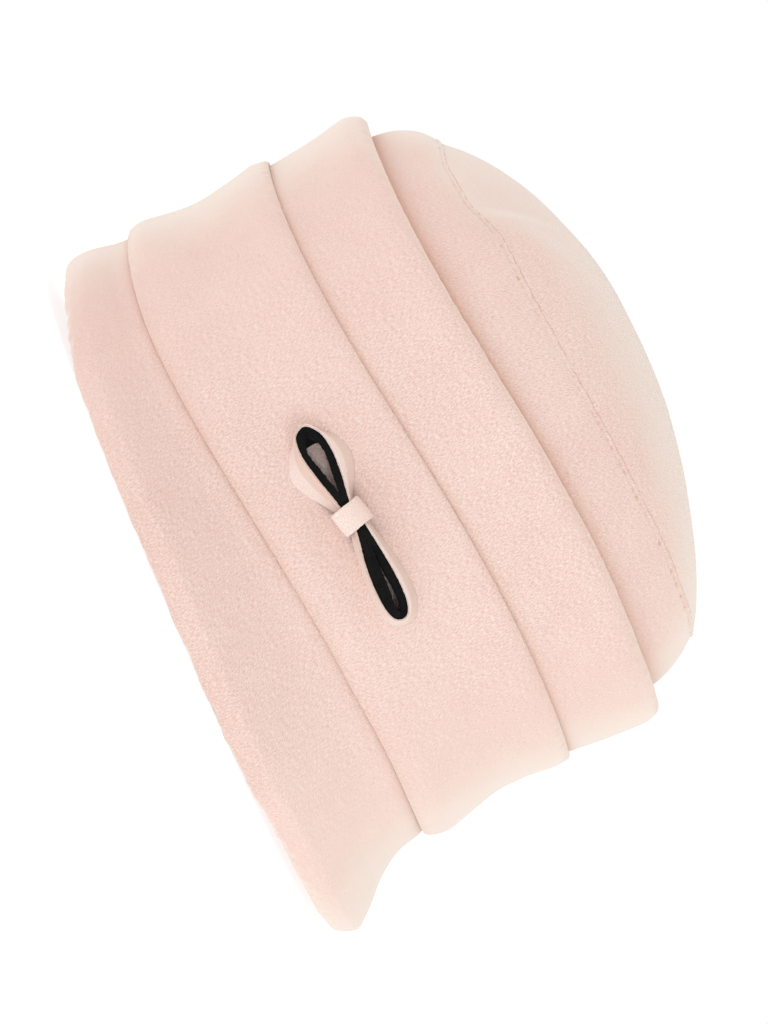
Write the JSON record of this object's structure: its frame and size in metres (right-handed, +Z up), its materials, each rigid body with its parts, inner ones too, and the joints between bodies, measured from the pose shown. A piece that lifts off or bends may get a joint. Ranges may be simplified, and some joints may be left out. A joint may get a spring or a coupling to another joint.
{
  "type": "felt cloche hat",
  "caption": "Cut-and-sewn felt cloche hat with a domed crown, two folded bands round it, a flared front brim and a small felt bow on the wearer's right.",
  "frame": {"origin": "on the surface the hat stands on, under the middle of the hat", "axes": "+X to the front of the hat, +Z up to the crown, and the bow on the -Y side, the wearer's right"},
  "size_m": [0.2614, 0.221, 0.1821],
  "materials": {
    "pink_felt": "brushed wool felt cloth with a short nap",
    "black_felt": "dense matt felt"
  },
  "bodies": {
    "root": {"crown_tip": "pink_felt", "crown_side": "pink_felt", "upper_band": "pink_felt", "middle_band": "pink_felt", "brim": "pink_felt", "bow_rear_loop": "pink_felt", "bow_front_loop": "pink_felt", "bow_rear_lining": "black_felt", "bow_front_lining": "black_felt", "bow_knot": "pink_felt"}
  },
  "joints": []
}
